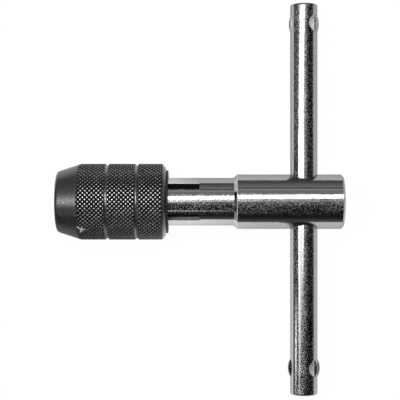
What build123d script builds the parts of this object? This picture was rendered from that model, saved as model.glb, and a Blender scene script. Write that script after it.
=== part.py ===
from build123d import *
import math
import os

os.makedirs("parts", exist_ok=True)

# T-handle tap wrench, in millimetres.
# +X runs along the tool from the nose to the back of the head, the cross bar lies along Y, and +Z is up.
# The origin is the centre of the nose opening, where the tap goes in, with the jaws fully open.

# ---- driving dimensions: body ------------------------------------------------------------------
shank_r = 7.0
head_r = 8.0
slot_end_x = 41.6          # where the saw slots stop and the fingers grow out of the shank
step_x = 51.6              # where the shank meets the head
step_length = 0.9
body_end_x = 83.5
head_edge = 0.6
clearance_bore_r = 4.2     # drilled down the middle, behind the jaws
clearance_bore_end_x = 44.0
drill_point_angle = 59     # half the included angle of the drill's point

# ---- driving dimensions: fingers and their jaws --------------------------------------------------
tip_x = 3.4
tip_r = 5.55
tip_edge = 0.3
square_side = 7.0          # largest tap square that the open jaws take
mouth_r = 4.3              # lead-in at the front of the square hole
mouth_depth = 1.3
jaw_length = 12.0
slot_width = 2.0
slot_edge = 0.15           # the saw cuts' outer edges are broken by this much
slot_angle = 41            # each saw cut lies this far from the vertical
thread_crest_r = 6.85
thread_back_x = 24.2
grip_taper = 13.5          # half the included angle of the closing cone

# ---- driving dimensions: sleeve ------------------------------------------------------------------
sleeve_r = 11.1
nose_face_r = 8.79         # where the nose cone would meet the front face
nose_cone_length = 7.2
nose_fillet = 1.3
sleeve_end_x = 31.9
back_chamfer_length = 1.3
back_face_r = 9.5
nose_bore_r = 5.3
nose_bore_length = 1.6
nose_bore_edge = 0.2
groove_centres_x = (14.8, 23.4)
groove_width = 1.05
groove_depth = 0.4
thread_bore_r = 6.95
thread_length = 12.2
relief_bore_r = 7.2
relief_lead = 0.4

# ---- driving dimensions: wiper ring ----------------------------------------------------------------
ring_front_x = 29.4
ring_proud = 0.6           # how far the ring stands out behind the sleeve
ring_inner_r = 7.05
ring_outer_r = 9.2
ring_edge = 0.15
bead_r = 9.45              # snap bead round the ring, which holds it in the sleeve
bead_width = 0.9
ring_gap = 0.05            # running clearance between ring and sleeve

# ---- driving dimensions: cross bar -----------------------------------------------------------------
bar_r = 4.0
bar_length = 114.0
bar_axis_x = 72.1
bar_centre_y = 0.65        # the bar stands where it was last pushed
bar_edge = 0.7
bar_hole_r = 4.08
bar_hole_edge = 0.3
ear_length = 5.9
stakes = (                 # centre along Y, ear height: one pair of ears near each end
    (51.8, 0.4),
    (-48.5, 0.68),
)
stake_angle = 44           # bottom of the chisel mark, measured round the bar from +Z to +X
ear_start_angle = 50
ear_sweep = 54
chisel_r = 4.54            # the chisel's edge is an arc of this radius
chisel_depth = 0.75
chisel_slope = 1.9         # width of the mark's shallow wall
chisel_back = 0.25         # width of its steep wall
chisel_height = 1.0

# ---- driving dimensions: friction pack --------------------------------------------------------------
spring_bore_r = 1.6
ball_r = 1.5
ball_gap = 0.02            # between the ball and the bar
plug_length = 2.4
spring_wire_r = 0.2
spring_coil_r = 1.2
spring_turns = 11


# ---- worked-out places --------------------------------------------------------------------------------
def cone_radius(x):
    """Inside radius of the sleeve's closing cone, x from the nose face."""
    return nose_bore_r + (x - nose_bore_length) * math.tan(math.radians(grip_taper))


def cone_reach(radius):
    """Distance from the nose face at which the closing cone has this radius."""
    return nose_bore_length + (radius - nose_bore_r) / math.tan(math.radians(grip_taper))


jaw_end_x = tip_x + jaw_length
cone_end_x = cone_reach(thread_bore_r)
thread_end_x = cone_end_x + thread_length
cone_gap = cone_radius(tip_x) - tip_r
finger_cone_end_x = cone_reach(thread_crest_r + cone_gap)
relief_start_x = jaw_end_x + (clearance_bore_r - square_side / 2)
drill_point_x = clearance_bore_end_x + (clearance_bore_r - spring_bore_r) / math.tan(
    math.radians(drill_point_angle)
)
ring_end_x = sleeve_end_x + ring_proud
bead_x = (ring_front_x + sleeve_end_x) / 2
ball_x = bar_axis_x - bar_r - ball_gap - ball_r
plug_end_x = drill_point_x + plug_length
spring_start_x = plug_end_x + spring_wire_r
spring_end_x = ball_x - ball_gap - math.sqrt((ball_r + spring_wire_r) ** 2 - spring_coil_r**2)
far = 2 * sleeve_r         # longer than any radius in the tool


def half_section(*points):
    """Closed outline in the XZ plane, ready to revolve about the tool's axis."""
    with BuildSketch(Plane.XZ) as half:
        with BuildLine():
            Polyline(*points, close=True)
        make_face()
    return half.sketch


# ---- body: head, step and shank, with the bore for the friction pack and the hole for the bar -----------
with BuildPart() as body:
    add(
        half_section(
            (slot_end_x, clearance_bore_r),
            (slot_end_x, shank_r),
            (step_x, shank_r),
            (step_x + step_length, head_r),
            (body_end_x - head_edge, head_r),
            (body_end_x, head_r - head_edge),
            (body_end_x, 0),
            (bar_axis_x, 0),
            (bar_axis_x, spring_bore_r),
            (drill_point_x, spring_bore_r),
            (clearance_bore_end_x, clearance_bore_r),
        )
    )
    revolve(axis=Axis.X)
    with BuildSketch(Plane.XZ):
        with Locations((bar_axis_x, 0)):
            Circle(bar_hole_r)
    extrude(amount=far, both=True, mode=Mode.SUBTRACT)
    hole_rims = body.edges(Select.LAST).group_by(Axis.Y)
    chamfer([hole_rims[0].edge(), hole_rims[-1].edge()], bar_hole_edge)

body.part.label = "body"
export_step(body.part, "parts/body.step")


# ---- spring fingers: the sawn front of the shank, with a quarter of the square hole in each ---------------
def jaw_finger(direction, spread):
    """One finger. direction is its middle and spread its half width, in degrees round the axis from +Y."""
    with BuildPart() as finger:
        add(
            half_section(
                (tip_x, mouth_r),
                (tip_x, tip_r - tip_edge),
                (tip_x + tip_edge, cone_radius(tip_x + tip_edge) - cone_gap),
                (finger_cone_end_x, thread_crest_r),
                (thread_back_x, thread_crest_r),
                (thread_back_x + shank_r - thread_crest_r, shank_r),
                (slot_end_x, shank_r),
                (slot_end_x, clearance_bore_r),
                (relief_start_x, clearance_bore_r),
                (jaw_end_x, mouth_r - mouth_depth),
                (tip_x + mouth_depth, mouth_r - mouth_depth),
            )
        )
        revolve(axis=Axis.X)
        with BuildSketch(Plane.YZ.offset(tip_x)):
            Rectangle(square_side, square_side)
        extrude(amount=jaw_length, mode=Mode.SUBTRACT)
        corner = Vector(slot_width / 2 / math.sin(math.radians(spread)), 0).rotate(Axis.Z, direction)
        with BuildSketch(Plane.YZ):
            with BuildLine():
                Polyline(
                    corner,
                    corner + Vector(far, 0).rotate(Axis.Z, direction - spread),
                    corner + Vector(far, 0).rotate(Axis.Z, direction + spread),
                    close=True,
                )
            make_face()
        extrude(amount=slot_end_x, mode=Mode.INTERSECT)
        shank_edges = finger.edges().filter_by(Axis.X).filter_by_position(Axis.X, thread_back_x, slot_end_x)
        chamfer(shank_edges.sort_by(SortBy.DISTANCE)[-2:], slot_edge)
    return finger


for name, direction, spread in (
    ("jaw_finger_upper", 90, slot_angle),
    ("jaw_finger_lower", -90, slot_angle),
    ("jaw_finger_right", 0, 90 - slot_angle),
    ("jaw_finger_left", 180, 90 - slot_angle),
):
    finger = jaw_finger(direction, spread)
    finger.part.label = name
    export_step(finger.part, f"parts/{name}.step")


# ---- chuck sleeve: tapered nose, grooved barrel, closing cone and thread bore ------------------------------
with BuildPart() as chuck_sleeve:
    add(
        half_section(
            (0, nose_bore_r + nose_bore_edge),
            (0, nose_face_r),
            (nose_cone_length, sleeve_r),
            (sleeve_end_x - back_chamfer_length, sleeve_r),
            (sleeve_end_x, back_face_r),
            (sleeve_end_x, ring_outer_r + ring_gap),
            (bead_x + bead_width / 2 + ring_gap, ring_outer_r + ring_gap),
            (bead_x + bead_width / 2 + ring_gap, bead_r + ring_gap),
            (bead_x - bead_width / 2 - ring_gap, bead_r + ring_gap),
            (bead_x - bead_width / 2 - ring_gap, ring_outer_r + ring_gap),
            (ring_front_x, ring_outer_r + ring_gap),
            (ring_front_x, relief_bore_r),
            (thread_end_x + relief_lead, relief_bore_r),
            (thread_end_x, thread_bore_r),
            (cone_end_x, thread_bore_r),
            (nose_bore_length, nose_bore_r),
            (nose_bore_edge, nose_bore_r),
        )
    )
    revolve(axis=Axis.X)
    nose_rim = chuck_sleeve.edges().filter_by(GeomType.CIRCLE).group_by(Axis.X)[0].sort_by(SortBy.RADIUS)[-1]
    fillet(nose_rim, nose_fillet)
    groove_arc_r = (groove_width**2 / 4 + groove_depth**2) / (2 * groove_depth)
    with BuildSketch(Plane.XZ):
        with Locations(*[(x, sleeve_r - groove_depth + groove_arc_r) for x in groove_centres_x]):
            Circle(groove_arc_r)
    revolve(axis=Axis.X, mode=Mode.SUBTRACT)

chuck_sleeve.part.label = "chuck_sleeve"
export_step(chuck_sleeve.part, "parts/chuck_sleeve.step")


# ---- wiper ring: seals and drags on the shank, snapped into the back of the sleeve ---------------------------
with BuildPart() as wiper_ring:
    add(
        half_section(
            (ring_front_x, ring_inner_r),
            (ring_front_x, ring_outer_r),
            (bead_x - bead_width / 2, ring_outer_r),
            (bead_x - bead_width / 2, bead_r),
            (bead_x + bead_width / 2, bead_r),
            (bead_x + bead_width / 2, ring_outer_r),
            (ring_end_x - ring_edge, ring_outer_r),
            (ring_end_x, ring_outer_r - ring_edge),
            (ring_end_x, ring_inner_r),
        )
    )
    revolve(axis=Axis.X)

wiper_ring.part.label = "wiper_ring"
export_step(wiper_ring.part, "parts/wiper_ring.step")


# ---- cross bar: round bar with rounded ends, staked twice near each end ----------------------------------------
def outward(angle):
    """Direction at right angles to the bar, at this angle round it from +Z towards +X."""
    return Vector(0, 0, 1).rotate(Axis.Y, angle)


with BuildPart() as cross_bar:
    bar_axis = Axis((bar_axis_x, 0, 0), (0, 1, 0))
    with BuildSketch(Plane.XZ.offset(-bar_centre_y)):
        with Locations((bar_axis_x, 0)):
            Circle(bar_r)
    extrude(amount=bar_length / 2, both=True)
    end_rims = cross_bar.edges().filter_by(GeomType.CIRCLE).group_by(Axis.Y)
    fillet([end_rims[0].edge(), end_rims[-1].edge()], bar_edge)

    for stake_y, ear_height in stakes:
        for turn in (0, 180):
            # the ear: metal pushed up beside the mark, highest at its middle
            ear_out = outward(ear_start_angle + turn)
            ear_plane = Plane((bar_axis_x, 0, 0), x_dir=(0, 1, 0), z_dir=Vector(0, 1, 0).cross(ear_out))
            with BuildSketch(ear_plane):
                with BuildLine():
                    ear_front = (stake_y - ear_length / 2, bar_r - chisel_back)
                    ear_back = (stake_y + ear_length / 2, bar_r - chisel_back)
                    ThreePointArc(ear_front, (stake_y, bar_r + ear_height), ear_back)
                    Line(ear_back, ear_front)
                make_face()
            revolve(axis=bar_axis, revolution_arc=ear_sweep)

            # the mark: the arc-shaped chisel goes in with one shallow and one steep wall
            mark_out = outward(stake_angle + turn)
            mark_along = outward(stake_angle + turn + 90)
            chisel_centre = bar_r - chisel_depth + chisel_r
            mark_plane = Plane((bar_axis_x, stake_y, 0), x_dir=mark_along, z_dir=(0, -1, 0))
            with BuildSketch(mark_plane):
                with BuildLine():
                    Polyline(
                        (-chisel_slope, chisel_centre),
                        (-chisel_slope, bar_r - chisel_depth + chisel_height),
                        (0, bar_r - chisel_depth),
                        (chisel_back, bar_r - chisel_depth + chisel_height),
                        (chisel_back, chisel_centre),
                        close=True,
                    )
                make_face()
            chisel_axis = Axis(mark_plane.origin + mark_out * chisel_centre, mark_along)
            revolve(axis=chisel_axis, mode=Mode.SUBTRACT)

cross_bar.part.label = "cross_bar"
export_step(cross_bar.part, "parts/cross_bar.step")


# ---- friction pack: plug, spring and ball in the bore behind the jaws, holding the bar where it is pushed -------
with BuildPart() as spring_plug:
    with BuildSketch(Plane.YZ.offset(drill_point_x)):
        Circle(spring_bore_r)
    extrude(amount=plug_length)

spring_plug.part.label = "spring_plug"
export_step(spring_plug.part, "parts/spring_plug.step")


with BuildPart() as friction_spring:
    spring_length = spring_end_x - spring_start_x
    with BuildLine():
        coil = Helix(
            pitch=spring_length / spring_turns,
            height=spring_length,
            radius=spring_coil_r,
            center=(spring_start_x, 0, 0),
            direction=(1, 0, 0),
        )
    with BuildSketch(Plane(coil @ 0, z_dir=coil % 0)):
        Circle(spring_wire_r)
    sweep(path=coil, is_frenet=True)

friction_spring.part.label = "friction_spring"
export_step(friction_spring.part, "parts/friction_spring.step")


with BuildPart() as friction_ball:
    with Locations((ball_x, 0, 0)):
        Sphere(ball_r)

friction_ball.part.label = "friction_ball"
export_step(friction_ball.part, "parts/friction_ball.step")
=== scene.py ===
import math
import bpy
import numpy as np
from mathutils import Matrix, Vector


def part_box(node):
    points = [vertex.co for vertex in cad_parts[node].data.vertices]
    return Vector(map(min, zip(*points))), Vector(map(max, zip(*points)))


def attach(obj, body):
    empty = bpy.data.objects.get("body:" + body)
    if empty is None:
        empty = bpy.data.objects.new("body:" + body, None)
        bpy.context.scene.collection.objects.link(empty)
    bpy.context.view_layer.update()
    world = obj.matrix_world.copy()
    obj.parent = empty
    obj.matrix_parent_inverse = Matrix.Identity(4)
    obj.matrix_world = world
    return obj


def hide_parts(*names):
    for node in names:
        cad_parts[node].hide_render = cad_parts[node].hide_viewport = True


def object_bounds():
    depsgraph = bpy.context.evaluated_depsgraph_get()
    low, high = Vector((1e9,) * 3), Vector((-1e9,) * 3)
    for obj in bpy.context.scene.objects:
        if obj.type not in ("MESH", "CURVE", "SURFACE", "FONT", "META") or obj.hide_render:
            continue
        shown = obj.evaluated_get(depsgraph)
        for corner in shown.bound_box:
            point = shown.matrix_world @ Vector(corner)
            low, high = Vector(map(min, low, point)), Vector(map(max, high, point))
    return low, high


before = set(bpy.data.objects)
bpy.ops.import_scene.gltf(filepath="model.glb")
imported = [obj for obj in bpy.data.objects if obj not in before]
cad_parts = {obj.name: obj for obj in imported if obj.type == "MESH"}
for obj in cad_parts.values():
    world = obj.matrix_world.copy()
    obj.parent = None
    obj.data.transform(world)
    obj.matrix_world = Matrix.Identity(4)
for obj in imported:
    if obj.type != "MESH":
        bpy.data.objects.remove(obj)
cad_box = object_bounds()

# T-handle tap wrench: knurled black chuck sleeve, plated shank and head, and a plated cross bar.
# The tool lies along +X with its nose at the origin, the bar lies along Y, and +Z is up.
# Tool sizes below are in millimetres, and become metres where a mesh, a lamp or the camera is made.

MM = 0.001
tool_low, tool_high = (Vector(corner) / MM for corner in cad_box)
middle = (tool_low + tool_high) / 2

sleeve_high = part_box("chuck_sleeve")[1] / MM
ring_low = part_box("wiper_ring")[0] / MM
finger_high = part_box("jaw_finger_upper")[1] / MM
bar_low, bar_high = (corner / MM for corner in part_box("cross_bar"))

# ---- sleeve, in millimetres: the same profile as the CAD sleeve, with the knurl cut into it ----------
sleeve_r = sleeve_high.z
sleeve_end_x = sleeve_high.x
nose_face_r = 8.79
nose_cone_length = 7.2
nose_fillet = 1.3
nose_fillet_steps = 8
back_face_r = 9.5
back_round_length = 1.3
back_roundness = 0.5       # 0 is a flat chamfer, 1 a quarter ellipse
nose_bore_r = 5.3
nose_bore_length = 1.6
nose_bore_edge = 0.2
thread_bore_r = 6.95
thread_length = 12.2
relief_bore_r = 7.2
relief_lead = 0.4
grip_taper = math.radians(13.5)
ring_seat_r = 9.25
groove_centres_x = (14.8, 23.4)
groove_width = 1.05
groove_depth = 0.4

diamonds_round = 54
steps_per_diamond = 8
diamond = 2 * math.pi * sleeve_r / diamonds_round
knurl_step = diamond / steps_per_diamond
rising_cut = 0.3           # depth of the knurl's rising and falling grooves
falling_cut = 0.24
light_press = 0.6          # how much shallower the falling grooves get on the -Y side
light_press_turn = 0.15    # how far past the top that side reaches, in radians
light_press_x = 8.0        # where along the sleeve the light side starts, and how far on it is full
light_press_run = 9.0
crest_share = 0.5          # how much of each diamond's width is its crest
crest_dome = 0.03          # how far the crests round off towards their edges
knurl_wobble = 0.005       # spread of the crests' height

chip_place = Vector((7.66, -8.0, 7.7))
chip_core = 0.36           # radius of the chip's middle, and of the dark pit in it
chip_pit = 0.16
chip_rays = ((138, 1.5), (5, 1.35), (250, 1.0), (62, 0.95), (-50, 0.9))     # degrees from +X, and length
chip_ray_width = 0.26
chip_ragged = 0.24         # how far its outline wanders

# ---- body, in millimetres ---------------------------------------------------------------------------
shank_r = finger_high.z
slots_end_x = finger_high.x
head_start_x = 52.4        # where the head's full size starts
ridge_y = -1.0             # the plating is grainiest along this line, and smoother to both sides
lit_wall_start_r = 5.2         # how far from the axis the painted light on the -Y slots' walls starts, and where it is full; deeper in they keep painted shade
lit_wall_full_r = 5.9

# ---- bar, in millimetres: the chisel marks near its two ends, with their painted highlight and shade ---
bar_axis_x = (bar_low.x + bar_high.x) / 2
bar_r = 4.0
bar_grain = 0.8            # how grainy its plating is, where 1 is full grain
stakes = ((51.9, 0.0), (-48.5, 0.45))     # where each is along Y, and how much its painted highlight is dimmed and its painted shade deepened
stake_half_length = 2.5
stake_flat_end = 2.75      # how far the flats reach from the bar's middle, and how wide they are
stake_flat_width = 1.6
stake_lip = 0.5            # width of the painted shade line beside each flat
ear_reach = 0.9            # how far in from the bar's side the painted shade of an ear reaches, at its middle

# ---- studio -----------------------------------------------------------------------------------------
# Brightness of the walls by degrees from straight up towards +Y, and its fade by how far along X.
wall_brightness = (
    (-90, 0.12),
    (-72, 0.02),
    (-36, 0.0),
    (-24, 0.015),
    (-9, 0.05),
    (0, 0.23),
    (8, 0.31),
    (48, 0.31),
    (51, 0.48),
    (56, 0.48),
    (57.5, 0.04),
    (61, 0.04),
    (63, 0.33),
    (76, 0.22),
    (90, 0.12),
)
end_fade = ((-1, 0.3), (-0.8, 0.5), (-0.6, 1), (0.2, 1), (0.35, 0.4), (0.5, 0.1), (0.65, 0.03), (1, 0.02))
slim_line_degrees = -45.5
room_glow = 0.006
camera_lens = 108
camera_height = 0.351      # in metres
camera_off_y = -0.15       # in millimetres from the tool's middle


# ---- shader arithmetic ------------------------------------------------------------------------------
class Shade:
    """A value, colour or vector inside a finish. Arithmetic on it adds Math nodes."""

    def __init__(self, finish, socket):
        self.finish = finish
        self.socket = socket

    def output(self, name):
        """Another output of the node that this value comes from."""
        return Shade(self.finish, self.socket.node.outputs[name])

    def __add__(self, other):
        return self.finish.math("ADD", self, other)

    def __sub__(self, other):
        return self.finish.math("SUBTRACT", self, other)

    def __rsub__(self, other):
        return self.finish.math("SUBTRACT", other, self)

    def __mul__(self, other):
        return self.finish.math("MULTIPLY", self, other)

    def __truediv__(self, other):
        return self.finish.math("DIVIDE", self, other)

    def __pow__(self, other):
        return self.finish.math("POWER", self, other)

    def __abs__(self):
        return self.finish.math("ABSOLUTE", self)

    __radd__ = __add__
    __rmul__ = __mul__


class Finish:
    """The node tree of a material or a world, built up one node at a time."""

    def __init__(self, owner):
        owner.use_nodes = True
        self.owner = owner
        self.tree = owner.node_tree

    def node(self, kind, settings=None, inputs=None):
        """Adds a node, makes its settings first, then fills its sockets with values or links."""
        node = self.tree.nodes.new(kind)
        for name, value in (settings or {}).items():
            if name == "stops":
                self.set_stops(node.color_ramp, value)
            else:
                setattr(node, name, value)
        self.fill(node, inputs or {})
        return Shade(self, next(socket for socket in node.outputs if socket.enabled))

    def set_stops(self, ramp, stops):
        """Gives a ramp its stops, each a position and a grey level."""
        while len(ramp.elements) < len(stops):
            ramp.elements.new(1)
        for element, (position, level) in zip(ramp.elements, stops):
            element.position = position
            element.color = (level, level, level, 1)

    def fill(self, node, inputs):
        """Puts values or links into a node's sockets, found by number or by name."""
        for key, value in inputs.items():
            if isinstance(key, int):
                socket = node.inputs[key]
            else:
                socket = next(s for s in node.inputs if s.name == key and s.enabled)
            if isinstance(value, Shade):
                self.tree.links.new(value.socket, socket)
            else:
                socket.default_value = value

    def math(self, operation, *values):
        return self.node("ShaderNodeMath", {"operation": operation}, dict(enumerate(values)))

    def vector_math(self, operation, *values):
        return self.node("ShaderNodeVectorMath", {"operation": operation}, dict(enumerate(values)))

    def place(self):
        """Where a point of the piece is, in millimetres from the nose opening at rest."""
        metres = self.node("ShaderNodeTexCoord").output("Object")
        return self.vector_math("MULTIPLY", metres, (1 / MM, 1 / MM, 1 / MM))

    def axes(self, vector):
        """The X, Y and Z of a vector."""
        split = self.node("ShaderNodeSeparateXYZ", None, {"Vector": vector})
        return [split.output(axis) for axis in "XYZ"]

    def ramp(self, value, stops):
        """Grey level for a value, from stops that are each a value and its level, in rising order."""
        first = stops[0][0]
        reach = stops[-1][0] - first
        shares = [((at - first) / reach, level) for at, level in stops]
        return self.node("ShaderNodeValToRGB", {"stops": shares}, {"Fac": (value - first) / reach})

    def noise(self, place, size, detail=2.0, roughness=0.5):
        """Cloudy noise from about 0 to 1 whose features are about this many millimetres across."""
        inputs = {"Vector": place, "Scale": 1 / size, "Detail": detail, "Roughness": roughness}
        return self.node("ShaderNodeTexNoise", None, inputs)

    def between(self, value, start, end, low=0.0, high=1.0):
        """Goes from low to high as value goes from start to end, and stays there beyond."""
        names = ("Value", "From Min", "From Max", "To Min", "To Max")
        return self.node("ShaderNodeMapRange", None, dict(zip(names, (value, start, end, low, high))))

    def largest(self, first, *others):
        """The largest of several values at each point."""
        for other in others:
            first = self.math("MAXIMUM", first, other)
        return first

    def mix(self, factor, first, second):
        """Blends two colours."""
        inputs = {"Factor": factor, "A": first, "B": second}
        return self.node("ShaderNodeMix", {"data_type": "RGBA"}, inputs)

    def bump(self, height):
        """Surface normal for a height in millimetres."""
        return self.node("ShaderNodeBump", None, {"Height": height, "Distance": MM})


def grey(level):
    """A grey that is very slightly blue."""
    return (level, level, level * 1.01, 1)


def new_finish(name):
    return Finish(bpy.data.materials.new(name))


def surface(finish, **sockets):
    """Fills the sockets of the finish's own shader, whose names are written here with underscores."""
    shader = finish.tree.nodes["Principled BSDF"]
    finish.fill(shader, {name.replace("_", " "): value for name, value in sockets.items()})
    return finish.owner


# ---- finishes ---------------------------------------------------------------------------------------
def plate_grain(finish, place):
    """The fine grain of the plating."""
    return finish.noise(place, 0.22, 1.0)


def plate_cloud(finish, place):
    """The wide, faint cloudiness of the plating."""
    return finish.noise(place, 5.0, 3.0)


def plating(finish, place, turned_along, grainy):
    """Bright plating over turned steel: its colour, its roughness, and its height in millimetres."""
    grain = plate_grain(finish, place)
    cloud = plate_cloud(finish, place)
    swell = finish.noise(place, 2.6, 1.0)
    turning = finish.node("ShaderNodeCombineXYZ", None, {"X": turned_along})
    turning_marks = finish.noise(turning, 1 / 9, 3.0, 0.7)
    specks = finish.between(finish.noise(place, 0.26, 0.0) + cloud * 0.25, 0.74, 0.8) * grainy
    colour = finish.mix(cloud * 0.3, finish.mix(grain, grey(0.26), grey(0.6)), grey(0.4))
    gloss = finish.between(grain, 0.4, 0.65, 0.06, 0.2) * (0.4 + grainy * 0.6)
    height = grain * grainy * 0.008 + swell * 0.015 + turning_marks * 0.0018 - specks * 0.012
    return colour, gloss + specks * 0.45, height


def plated_body():
    """Plating of the body and the fingers, with dull walls in the slots and bore that carry painted shade,
    a painted light on the lower slots' walls, and a painted highlight on the step's edge.
    """
    finish = new_finish("bright_plate_shank")
    place = finish.place()
    x, y, z = finish.axes(place)
    radius = (y**2 + z**2) ** 0.5
    beside_ridge = finish.between(abs(y - ridge_y), 1.0, 3.4, 1.2, 0.2)
    underside = finish.between(z, 3.5, -1, 0.0, 0.65)
    colour, roughness, height = plating(finish, place, x, finish.largest(beside_ridge, underside))
    # Inside the slots and the bore the walls are rough and darker: the darker colour is partly dull steel
    # and partly painted shade.
    slot_walls = finish.between(radius, shank_r - 0.1, shank_r - 0.25)
    slot_walls = slot_walls * finish.between(x, slots_end_x + 0.9, slots_end_x + 0.4)
    # Painted light on the slots' walls on the -Y side, which face the lamps: lighter and less metallic,
    # fading to painted shade deeper in.
    lit_slot_wall = slot_walls * finish.between(y, -2, -4) * finish.between(radius, lit_wall_start_r, lit_wall_full_r)
    # Painted highlight on the step's outer edge: a pale, less metallic band.
    step_edge_highlight = finish.between(abs(x - head_start_x), 0.2, 0.1)
    step_edge_highlight = step_edge_highlight * finish.between(radius, shank_r + 0.75, shank_r + 0.9)
    colour = finish.mix(slot_walls, colour, grey(0.12))
    colour = finish.mix(lit_slot_wall, colour, grey(0.24))
    colour = finish.mix(step_edge_highlight, colour, grey(0.7))
    return surface(
        finish,
        Base_Color=colour,
        Metallic=1.0 - finish.largest(lit_slot_wall, step_edge_highlight * 0.8),
        Roughness=roughness + slot_walls * 0.35,
        Specular_Tint=grey(0.6),
        Normal=finish.bump(height),
    )


def plated_bar():
    """Plating of the cross bar, with a painted highlight and painted shade at its chisel marks."""
    finish = new_finish("bright_plate_bar")
    place = finish.place()
    x, y, z = finish.axes(place)
    colour, roughness, height = plating(finish, place, y, bar_grain)
    stake_highlights, stake_shade = stake_light_and_shade(finish, x, y, z)
    # Painted shade beside the chisel flats and on the ears, darker on the +X side; then a painted highlight
    # on the flats.
    colour = finish.mix(stake_shade, colour, finish.mix(plate_cloud(finish, place), grey(0.04), grey(0.2)))
    colour = finish.mix(stake_highlights, colour, finish.mix(plate_grain(finish, place), grey(0.85), grey(1.0)))
    return surface(
        finish,
        Base_Color=colour,
        Metallic=1.0 - stake_highlights * 0.7,
        Roughness=roughness + stake_highlights * 0.2,
        Specular_Tint=grey(0.6),
        Normal=finish.bump(height),
    )


def stake_light_and_shade(finish, x, y, z):
    """Where a chisel pressed the bar's ears out: a painted highlight on the D-shaped flats, and painted
    shade beside them and on the ears, on the upper side only.
    """
    aside = x - bar_axis_x
    turned = aside * finish.math("SIGN", z)
    stake_highlights = 0.0
    stake_shade = 0.0
    for centre_y, shade_amount in stakes:
        from_centre = (y - centre_y) / stake_half_length
        bow = 1 - from_centre**2
        near = finish.between(abs(from_centre), 1.0, 0.9)
        flat = finish.between(turned - (stake_flat_end - stake_flat_width * bow), -0.05, 0.12)
        flat = flat * finish.between(turned, stake_flat_end + 0.1, stake_flat_end)
        stake_highlights = stake_highlights + flat * near * (1 - shade_amount * 0.5)
        lip = finish.between(turned, stake_flat_end, stake_flat_end + 0.1)
        lip = lip * finish.between(turned, stake_flat_end + stake_lip, stake_flat_end + stake_lip - 0.2)
        ear = finish.between(abs(aside) - (bar_r + 0.1 - ear_reach * bow), -0.05, 0.1, 0.0, shade_amount * 1.7)
        ear = ear * finish.between(aside, -1, 1, 0.4, 1.0)
        stake_shade = stake_shade + near * finish.largest(lip, ear) * finish.between(z, -0.5, 0.3)
    return stake_highlights, stake_shade


def star(finish, place, centre):
    """A ragged star-shaped chip with a dark pit: 1 on the star, 0 off it and on the piece's far side."""
    right, up, outward = finish.axes(finish.vector_math("SUBTRACT", place, centre))
    ragged = finish.noise(place, 0.3) * chip_ragged - chip_ragged / 2
    distance = (right**2 + up**2) ** 0.5
    shape = finish.between(distance + ragged, chip_core + 0.05, chip_core - 0.05)
    for degrees, length in chip_rays:
        turn = math.radians(degrees)
        along = right * math.cos(turn) + up * math.sin(turn)
        aside = abs(right * math.sin(turn) - up * math.cos(turn))
        ray = finish.between(aside + ragged, chip_ray_width / 2 + 0.03, chip_ray_width / 2 - 0.03)
        ray = ray * finish.between(along, length, length - 0.2) * finish.between(along, 0.0, 0.1)
        shape = finish.largest(shape, ray)
    pit = finish.between(distance, chip_pit - 0.04, chip_pit + 0.04)
    return shape * pit * finish.between(outward, -4, -3)


def black_oxide():
    """Blackened steel: nearly black, softly shiny, worn on the knurl's points, with one bright chip;
    painted highlight on the top side's points, painted shade in the knurl's valleys, painted reflection on
    the back rim's sides.
    """
    finish = new_finish("black_oxide")
    place = finish.place()
    x, y, z = finish.axes(place)
    radius = (y**2 + z**2) ** 0.5
    grain = finish.noise(place, 0.3, 3.0, 0.6)
    cloud = finish.noise(place, 3.5, 3.0)
    groove = 0.0
    for centre_x in groove_centres_x:
        groove = groove + finish.between(abs(x - centre_x), groove_width * 0.5, groove_width * 0.38)
    knurled = finish.between(x, nose_cone_length - 0.9, nose_cone_length - 0.3) * (1 - groove)
    knurled = knurled * finish.between(x, sleeve_end_x - 0.9, sleeve_end_x - 1.2)
    # Painted reflection: the back rim is lighter only where it turns towards the sides, at |Y| 6 to 8.5.
    rim_reflection = finish.between(x, sleeve_end_x - 1.0, sleeve_end_x - 0.5) * finish.between(abs(y), 6, 8.5)
    height = finish.between(radius, sleeve_r - 0.28, sleeve_r - 0.03)
    crest = finish.between(radius + grain * 0.05, sleeve_r - 0.06, sleeve_r + 0.02)
    # The points' lighter colour is real wear, made much stronger on the top side as a painted highlight.
    lit_top_side = finish.between(z, 8.8, 10.8, 0.2, 1.0)
    crest_wear_and_highlight = crest * knurled * lit_top_side * finish.between(cloud, 0.3, 0.6, 0.7, 1.1)
    flecks = finish.between(finish.noise(place, 0.5, 0.0), 0.77, 0.82)
    chip = star(finish, place, chip_place)
    crumbled = finish.noise(place, 0.4, 1.0) * chip
    bare_and_highlight = finish.largest(crest_wear_and_highlight * 0.9, flecks * 0.2, chip, groove * 0.08, rim_reflection * 0.1)
    black = finish.mix(cloud, grey(0.095), grey(0.145))
    # Painted shade: the knurl's valleys are darkened to near black.
    black = finish.mix(knurled * (1 - height), black, grey(0.02))
    return surface(
        finish,
        Base_Color=finish.mix(bare_and_highlight, black, finish.mix(chip, grey(0.85), grey(1.0))),
        Metallic=0.9 - chip * 0.75,
        Roughness=finish.between(grain, 0.3, 0.7, 0.28, 0.4) + crest_wear_and_highlight * 0.1 - groove * 0.06,
        Specular_Tint=grey(1.0),
        Normal=finish.bump(grain * 0.01 + cloud * 0.01 + crumbled * 0.1),
    )


def nitrile():
    """Moulded black rubber, faintly mottled."""
    finish = new_finish("nitrile")
    mottle = finish.noise(finish.place(), 0.8, 3.0)
    return surface(
        finish,
        Base_Color=finish.mix(mottle, grey(0.012), grey(0.03)),
        Roughness=finish.between(mottle, 0.3, 0.7, 0.55, 0.7),
        Normal=finish.bump(mottle * 0.01),
    )


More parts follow.
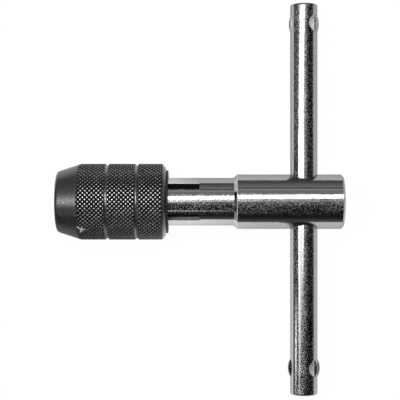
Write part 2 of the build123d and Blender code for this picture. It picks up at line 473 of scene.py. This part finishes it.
def oiled_spring_steel():
    """Drawn and oiled steel, for the pieces of the friction pack inside the body."""
    finish = new_finish("oiled_spring_steel")
    haze = finish.noise(finish.place(), 0.6, 2.0)
    return surface(
        finish,
        Base_Color=finish.mix(haze, grey(0.3), grey(0.4)),
        Metallic=1.0,
        Roughness=finish.between(haze, 0.3, 0.7, 0.22, 0.38),
        Normal=finish.bump(haze * 0.004),
    )


def dress(node, material):
    """Gives a CAD node its material."""
    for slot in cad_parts[node].material_slots:
        slot.material = material


# ---- sleeve mesh ------------------------------------------------------------------------------------
def triangle_wave(turns):
    """1 at every whole number, 0 half way between."""
    return np.abs(2 * (turns % 1) - 1)


def vee(turns):
    """A row of vee grooves, one at every whole number: 1 at the bottom, 0 on the flats between them."""
    return np.maximum(triangle_wave(turns) - crest_share, 0) / (1 - crest_share)


def knurl_depth(x, round_way):
    """How deep the knurl is cut at a place on the unrolled barrel."""
    rising = (x - round_way) / diamond
    falling = (x + round_way) / diamond
    light_side = np.maximum(0, -np.sin(round_way / sleeve_r - light_press_turn)) ** 0.5
    light_side = light_side * np.clip((x - light_press_x) / light_press_run, 0, 1)
    falling_depth = falling_cut * (1 - light_press * light_side)
    groove = np.maximum(rising_cut * vee(rising), falling_depth * vee(falling))
    from_crest = np.maximum(triangle_wave(rising), triangle_wave(falling)) / crest_share
    wobble = np.abs(np.random.default_rng(7).normal(0, knurl_wobble, x.shape))
    return groove + crest_dome * np.minimum(from_crest, 1) ** 2 + wobble


def nose_curve():
    """The fillet round the nose, from the front face to the cone, as places along X with their radii."""
    cone_angle = math.atan2(sleeve_r - nose_face_r, nose_cone_length)
    turn = math.pi / 2 - cone_angle
    reach = nose_fillet * math.tan(turn / 2)
    centre_r = nose_face_r - reach
    for step in range(nose_fillet_steps + 1):
        angle = turn * step / nose_fillet_steps
        yield nose_fillet * (1 - math.cos(angle)), centre_r + nose_fillet * math.sin(angle)


def blank_radius(x):
    """The sleeve's outside before it is knurled: nose cone, barrel with two grooves, rounded back edge."""
    cone = nose_face_r + (sleeve_r - nose_face_r) * x / nose_cone_length
    to_back = max(0, 1 - (sleeve_end_x - x) / back_round_length)
    drop = (1 - back_roundness) * to_back + back_roundness * (1 - math.sqrt(1 - to_back**2))
    radius = min(sleeve_r - drop * (sleeve_r - back_face_r), cone)
    arc_r = (groove_width**2 / 4 + groove_depth**2) / (2 * groove_depth)
    for centre_x in groove_centres_x:
        off = x - centre_x
        if abs(off) < groove_width / 2:
            radius = min(radius, sleeve_r - groove_depth + arc_r - math.sqrt(arc_r**2 - off**2))
    return radius


def bore_profile():
    """The inside of the sleeve from the back to the nose: ring seat, relief, thread and closing cone."""
    cone_end_x = nose_bore_length + (thread_bore_r - nose_bore_r) / math.tan(grip_taper)
    thread_end_x = cone_end_x + thread_length
    return (
        (sleeve_end_x, ring_seat_r),
        (ring_low.x, ring_seat_r),
        (ring_low.x, relief_bore_r),
        (thread_end_x + relief_lead, relief_bore_r),
        (thread_end_x, thread_bore_r),
        (cone_end_x, thread_bore_r),
        (nose_bore_length, nose_bore_r),
        (nose_bore_edge, nose_bore_r),
        (0, nose_bore_r + nose_bore_edge),
    )


def knurled_sleeve():
    """One closed skin, turned about X: a fine grid on the barrel whose lines meet the knurl's lines."""
    nose = list(nose_curve())
    first_step = math.ceil(nose[-1][0] / knurl_step)
    last_step = math.floor(sleeve_end_x / knurl_step)
    barrel_x = [step * knurl_step for step in range(first_step, last_step + 1)] + [sleeve_end_x]
    outside = nose + [(x, blank_radius(x)) for x in barrel_x]
    profile = np.array(outside + list(bore_profile()))
    knurled = np.zeros(len(profile), bool)
    knurled[len(nose):len(outside)] = True

    columns = diamonds_round * steps_per_diamond
    x, round_way = np.meshgrid(profile[:, 0], np.arange(columns) * knurl_step, indexing="ij")
    radius = np.repeat(profile[:, 1:], columns, axis=1)
    cut = np.minimum(radius, sleeve_r - knurl_depth(x, round_way))
    radius = np.where(knurled[:, None], cut, radius)
    angle = round_way / sleeve_r
    points = np.stack([x, radius * np.sin(angle), radius * np.cos(angle)], axis=-1).reshape(-1, 3)
    faces, smooth = sleeve_faces(radius, knurled)

    mesh = bpy.data.meshes.new("knurled_sleeve")
    mesh.from_pydata(points * MM, [], faces)
    mesh.polygons.foreach_set("use_smooth", smooth)
    mesh.update()
    return bpy.data.objects.new("knurled_sleeve", mesh)


def sleeve_faces(radius, knurled):
    """Two triangles for each cell of the grid, split along its deeper diagonal, and which are smooth."""
    rows, columns = radius.shape
    faces = []
    smooth = []
    for row in range(rows):
        next_row = (row + 1) % rows
        for column in range(columns):
            next_column = (column + 1) % columns
            a = row * columns + column
            b = row * columns + next_column
            c = next_row * columns + next_column
            d = next_row * columns + column
            across_ac = radius[row, column] + radius[next_row, next_column]
            across_bd = radius[row, next_column] + radius[next_row, column]
            if across_ac <= across_bd:
                faces += [(a, b, c), (a, c, d)]
            else:
                faces += [(a, b, d), (b, c, d)]
            is_cut = knurled[row] and knurled[next_row] and radius[row, column] > sleeve_r - 1
            smooth += [not is_cut, not is_cut]
    return faces, smooth


# ---- stage, lamps and camera ------------------------------------------------------------------------
def link(piece):
    bpy.context.scene.collection.objects.link(piece)
    return piece


def sheet_of_paper(name, start, end, z, whiteness):
    """A flat glowing sheet between two corners, in metres, and its finish. It is part of the stage."""
    mesh = bpy.data.meshes.new(name)
    corners = [(start[0], start[1], z), (end[0], start[1], z), (end[0], end[1], z), (start[0], end[1], z)]
    mesh.from_pydata(corners, [], [(0, 1, 2, 3)])
    sheet = link(bpy.data.objects.new(name, mesh))
    paper = new_finish(name)
    surface(paper, Base_Color=grey(whiteness), Roughness=1.0, Specular_IOR_Level=0.0, Emission_Strength=1.0)
    mesh.materials.append(paper.owner)
    return sheet, paper


def pale_floor():
    """A wide pale floor just under the tool, which its metal does not mirror."""
    floor, paper = sheet_of_paper("floor", (-4, -4), (4, 4), tool_low.z * MM, whiteness=0.06)
    surface(paper, Emission_Color=grey(0.97))
    floor.visible_glossy = False


def lit_sheet():
    """The smaller sheet that the metal mirrors, brighter on its -Y side except under the sleeve."""
    below_floor = tool_low.z * MM - 0.001
    sheet, paper = sheet_of_paper("lit_sheet", (-0.04, -0.19), (1.2, 0.085), below_floor, whiteness=0.0)
    sheet.visible_camera = False
    sheet.visible_diffuse = False
    sheet.visible_shadow = False
    x, y, _ = paper.axes(paper.place())
    far_side = paper.between(x, 33, 42, 0.68, 0.45) * paper.between(x, 28, 32, 0.75, 1.0)
    near_side = paper.between(x, 38, 62, 0.8, 0.52) * paper.between(x, 28, 32, 0.3, 1.0)
    glow = near_side + (far_side - near_side) * paper.between(y, -2, 2)
    surface(paper, Emission_Color=paper.mix(glow, grey(0.0), grey(1.0)), Emission_Strength=2.0)


def soft_lamp(name, place, size, turn, radiance):
    """A soft rectangular lamp that shines straight down. Its place and size are in metres."""
    data = bpy.data.lights.new(name, "AREA")
    data.shape = "RECTANGLE"
    data.size, data.size_y = size
    data.energy = radiance * math.pi * size[0] * size[1]
    lamp = link(bpy.data.objects.new(name, data))
    lamp.location = place
    lamp.rotation_euler = (0, 0, math.radians(turn))
    lamp.visible_camera = False
    return lamp


def softboxes():
    """A long softbox overhead with a dim skirt beside it, a card the sleeve mirrors, and a low strip."""
    soft_lamp("strip_softbox", (-0.31, 0.19, 0.9), size=(1.3, 0.24), turn=20, radiance=6.5)
    soft_lamp("softbox_skirt", (-0.44, -0.045, 0.88), size=(1.02, 0.2), turn=20, radiance=1.4)
    soft_lamp("sleeve_card", (-0.13, 0.0, 0.86), size=(0.22, 0.12), turn=0, radiance=3.7)
    low_strip = soft_lamp("low_strip", (-0.95, -0.17, 0.29), size=(0.06, 0.34), turn=0, radiance=2.6)
    low_strip.rotation_euler = (middle * MM - low_strip.location).to_track_quat("-Z", "Y").to_euler()


def dim_room():
    """A dim room, bright by degrees round the tool's axis and fading towards both ends.

    It also has a pale sweep low beyond the head, and a slim bright line half way up the -Y side.
    """
    world = bpy.data.worlds.new("room")
    bpy.context.scene.world = world
    finish = Finish(world)
    along, across, up = finish.axes(finish.node("ShaderNodeTexCoord").output("Generated"))
    degrees_round = finish.math("ARCTAN2", across, up) * (180 / math.pi)
    walls = finish.ramp(degrees_round, wall_brightness) * finish.ramp(along, end_fade)
    far_sweep = finish.between(along, 0.93, 0.96) * finish.between(up, 0.24, 0.16, 0.0, 0.75)
    far_sweep = far_sweep * finish.between(across, -0.03, 0.03, 0.3, 1.0)
    slim_line = finish.between(abs(degrees_round - slim_line_degrees), 2.2, 1.4)
    slim_line = slim_line * finish.between(along, 0.0, -0.025, 0.3, 2.5)
    slim_line = slim_line * finish.between(along, 0.045, 0.03)
    glow = walls + far_sweep + slim_line + room_glow
    seen = finish.node("ShaderNodeLightPath").output("Is Camera Ray")
    background = finish.tree.nodes["Background"]
    finish.fill(background, {"Color": grey(1.0), "Strength": seen + (1 - seen) * glow})


def camera_above():
    """A long lens straight above the tool, the bar upright in the picture."""
    data = bpy.data.cameras.new("camera")
    data.lens = camera_lens
    data.sensor_width = 36
    data.clip_start = 0.01
    camera = link(bpy.data.objects.new("camera", data))
    camera.location = (middle.x * MM, (middle.y + camera_off_y) * MM, camera_height)
    bpy.context.scene.camera = camera


# ---- putting it together ----------------------------------------------------------------------------
body_plate = plated_body()
for node in ("body", "jaw_finger_upper", "jaw_finger_lower", "jaw_finger_right", "jaw_finger_left"):
    dress(node, body_plate)
dress("cross_bar", plated_bar())
dress("wiper_ring", nitrile())
friction_steel = oiled_spring_steel()
for node in ("spring_plug", "friction_spring", "friction_ball"):
    dress(node, friction_steel)

sleeve = link(knurled_sleeve())
sleeve.data.materials.append(black_oxide())
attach(sleeve, "chuck_sleeve")
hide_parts("chuck_sleeve")

pale_floor()
lit_sheet()
softboxes()
dim_room()
camera_above()
bpy.context.scene.view_settings.view_transform = "Standard"
